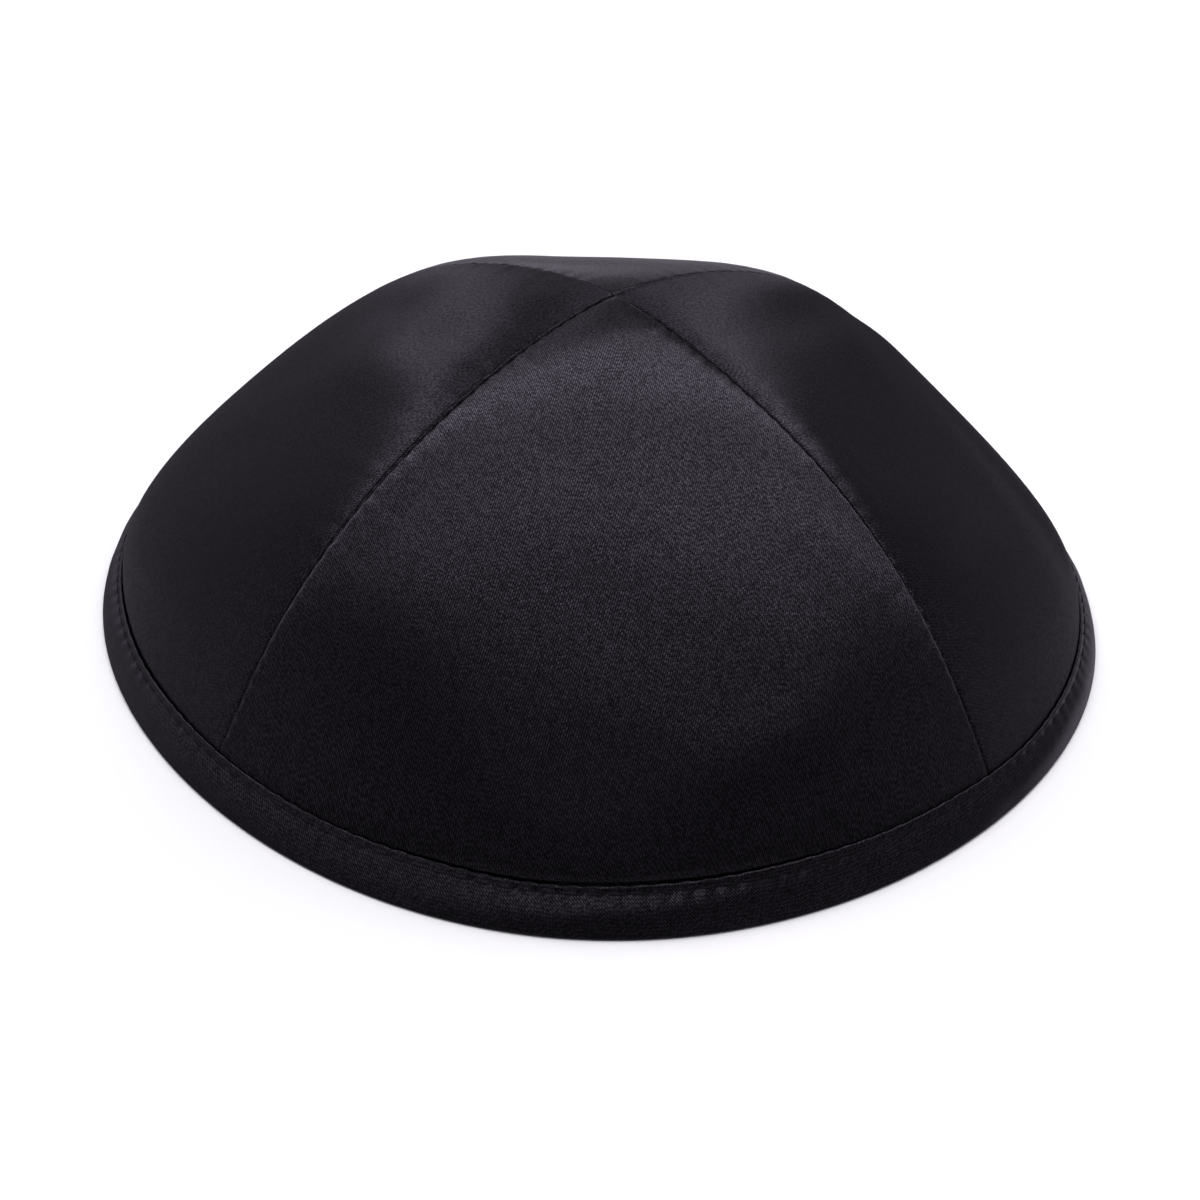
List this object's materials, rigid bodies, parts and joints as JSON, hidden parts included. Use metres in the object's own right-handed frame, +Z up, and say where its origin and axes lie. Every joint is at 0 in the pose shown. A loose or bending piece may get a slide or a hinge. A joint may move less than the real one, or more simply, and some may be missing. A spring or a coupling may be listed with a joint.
{
  "type": "kippah",
  "caption": "Round satin skullcap sewn from curved triangular panels that meet at the crown, with a folded band bound and topstitched round its rim.",
  "frame": {"origin": "middle of the base, on the surface that the rim rests on", "axes": "+Z up through the crown; -Y towards the middle of the front panel; +X towards the middle of the right panel as seen from the front"},
  "size_m": [0.1666, 0.1702, 0.0522],
  "materials": {
    "panel_satin": "black satin, fine diagonal weave, soft sheen",
    "band_satin": "black satin bias binding, soft sheen",
    "thread": "black polyester sewing thread"
  },
  "bodies": {
    "root": {"panel_front": "panel_satin", "panel_right": "panel_satin", "panel_back": "panel_satin", "panel_left": "panel_satin", "rim_band": "band_satin"}
  },
  "joints": []
}
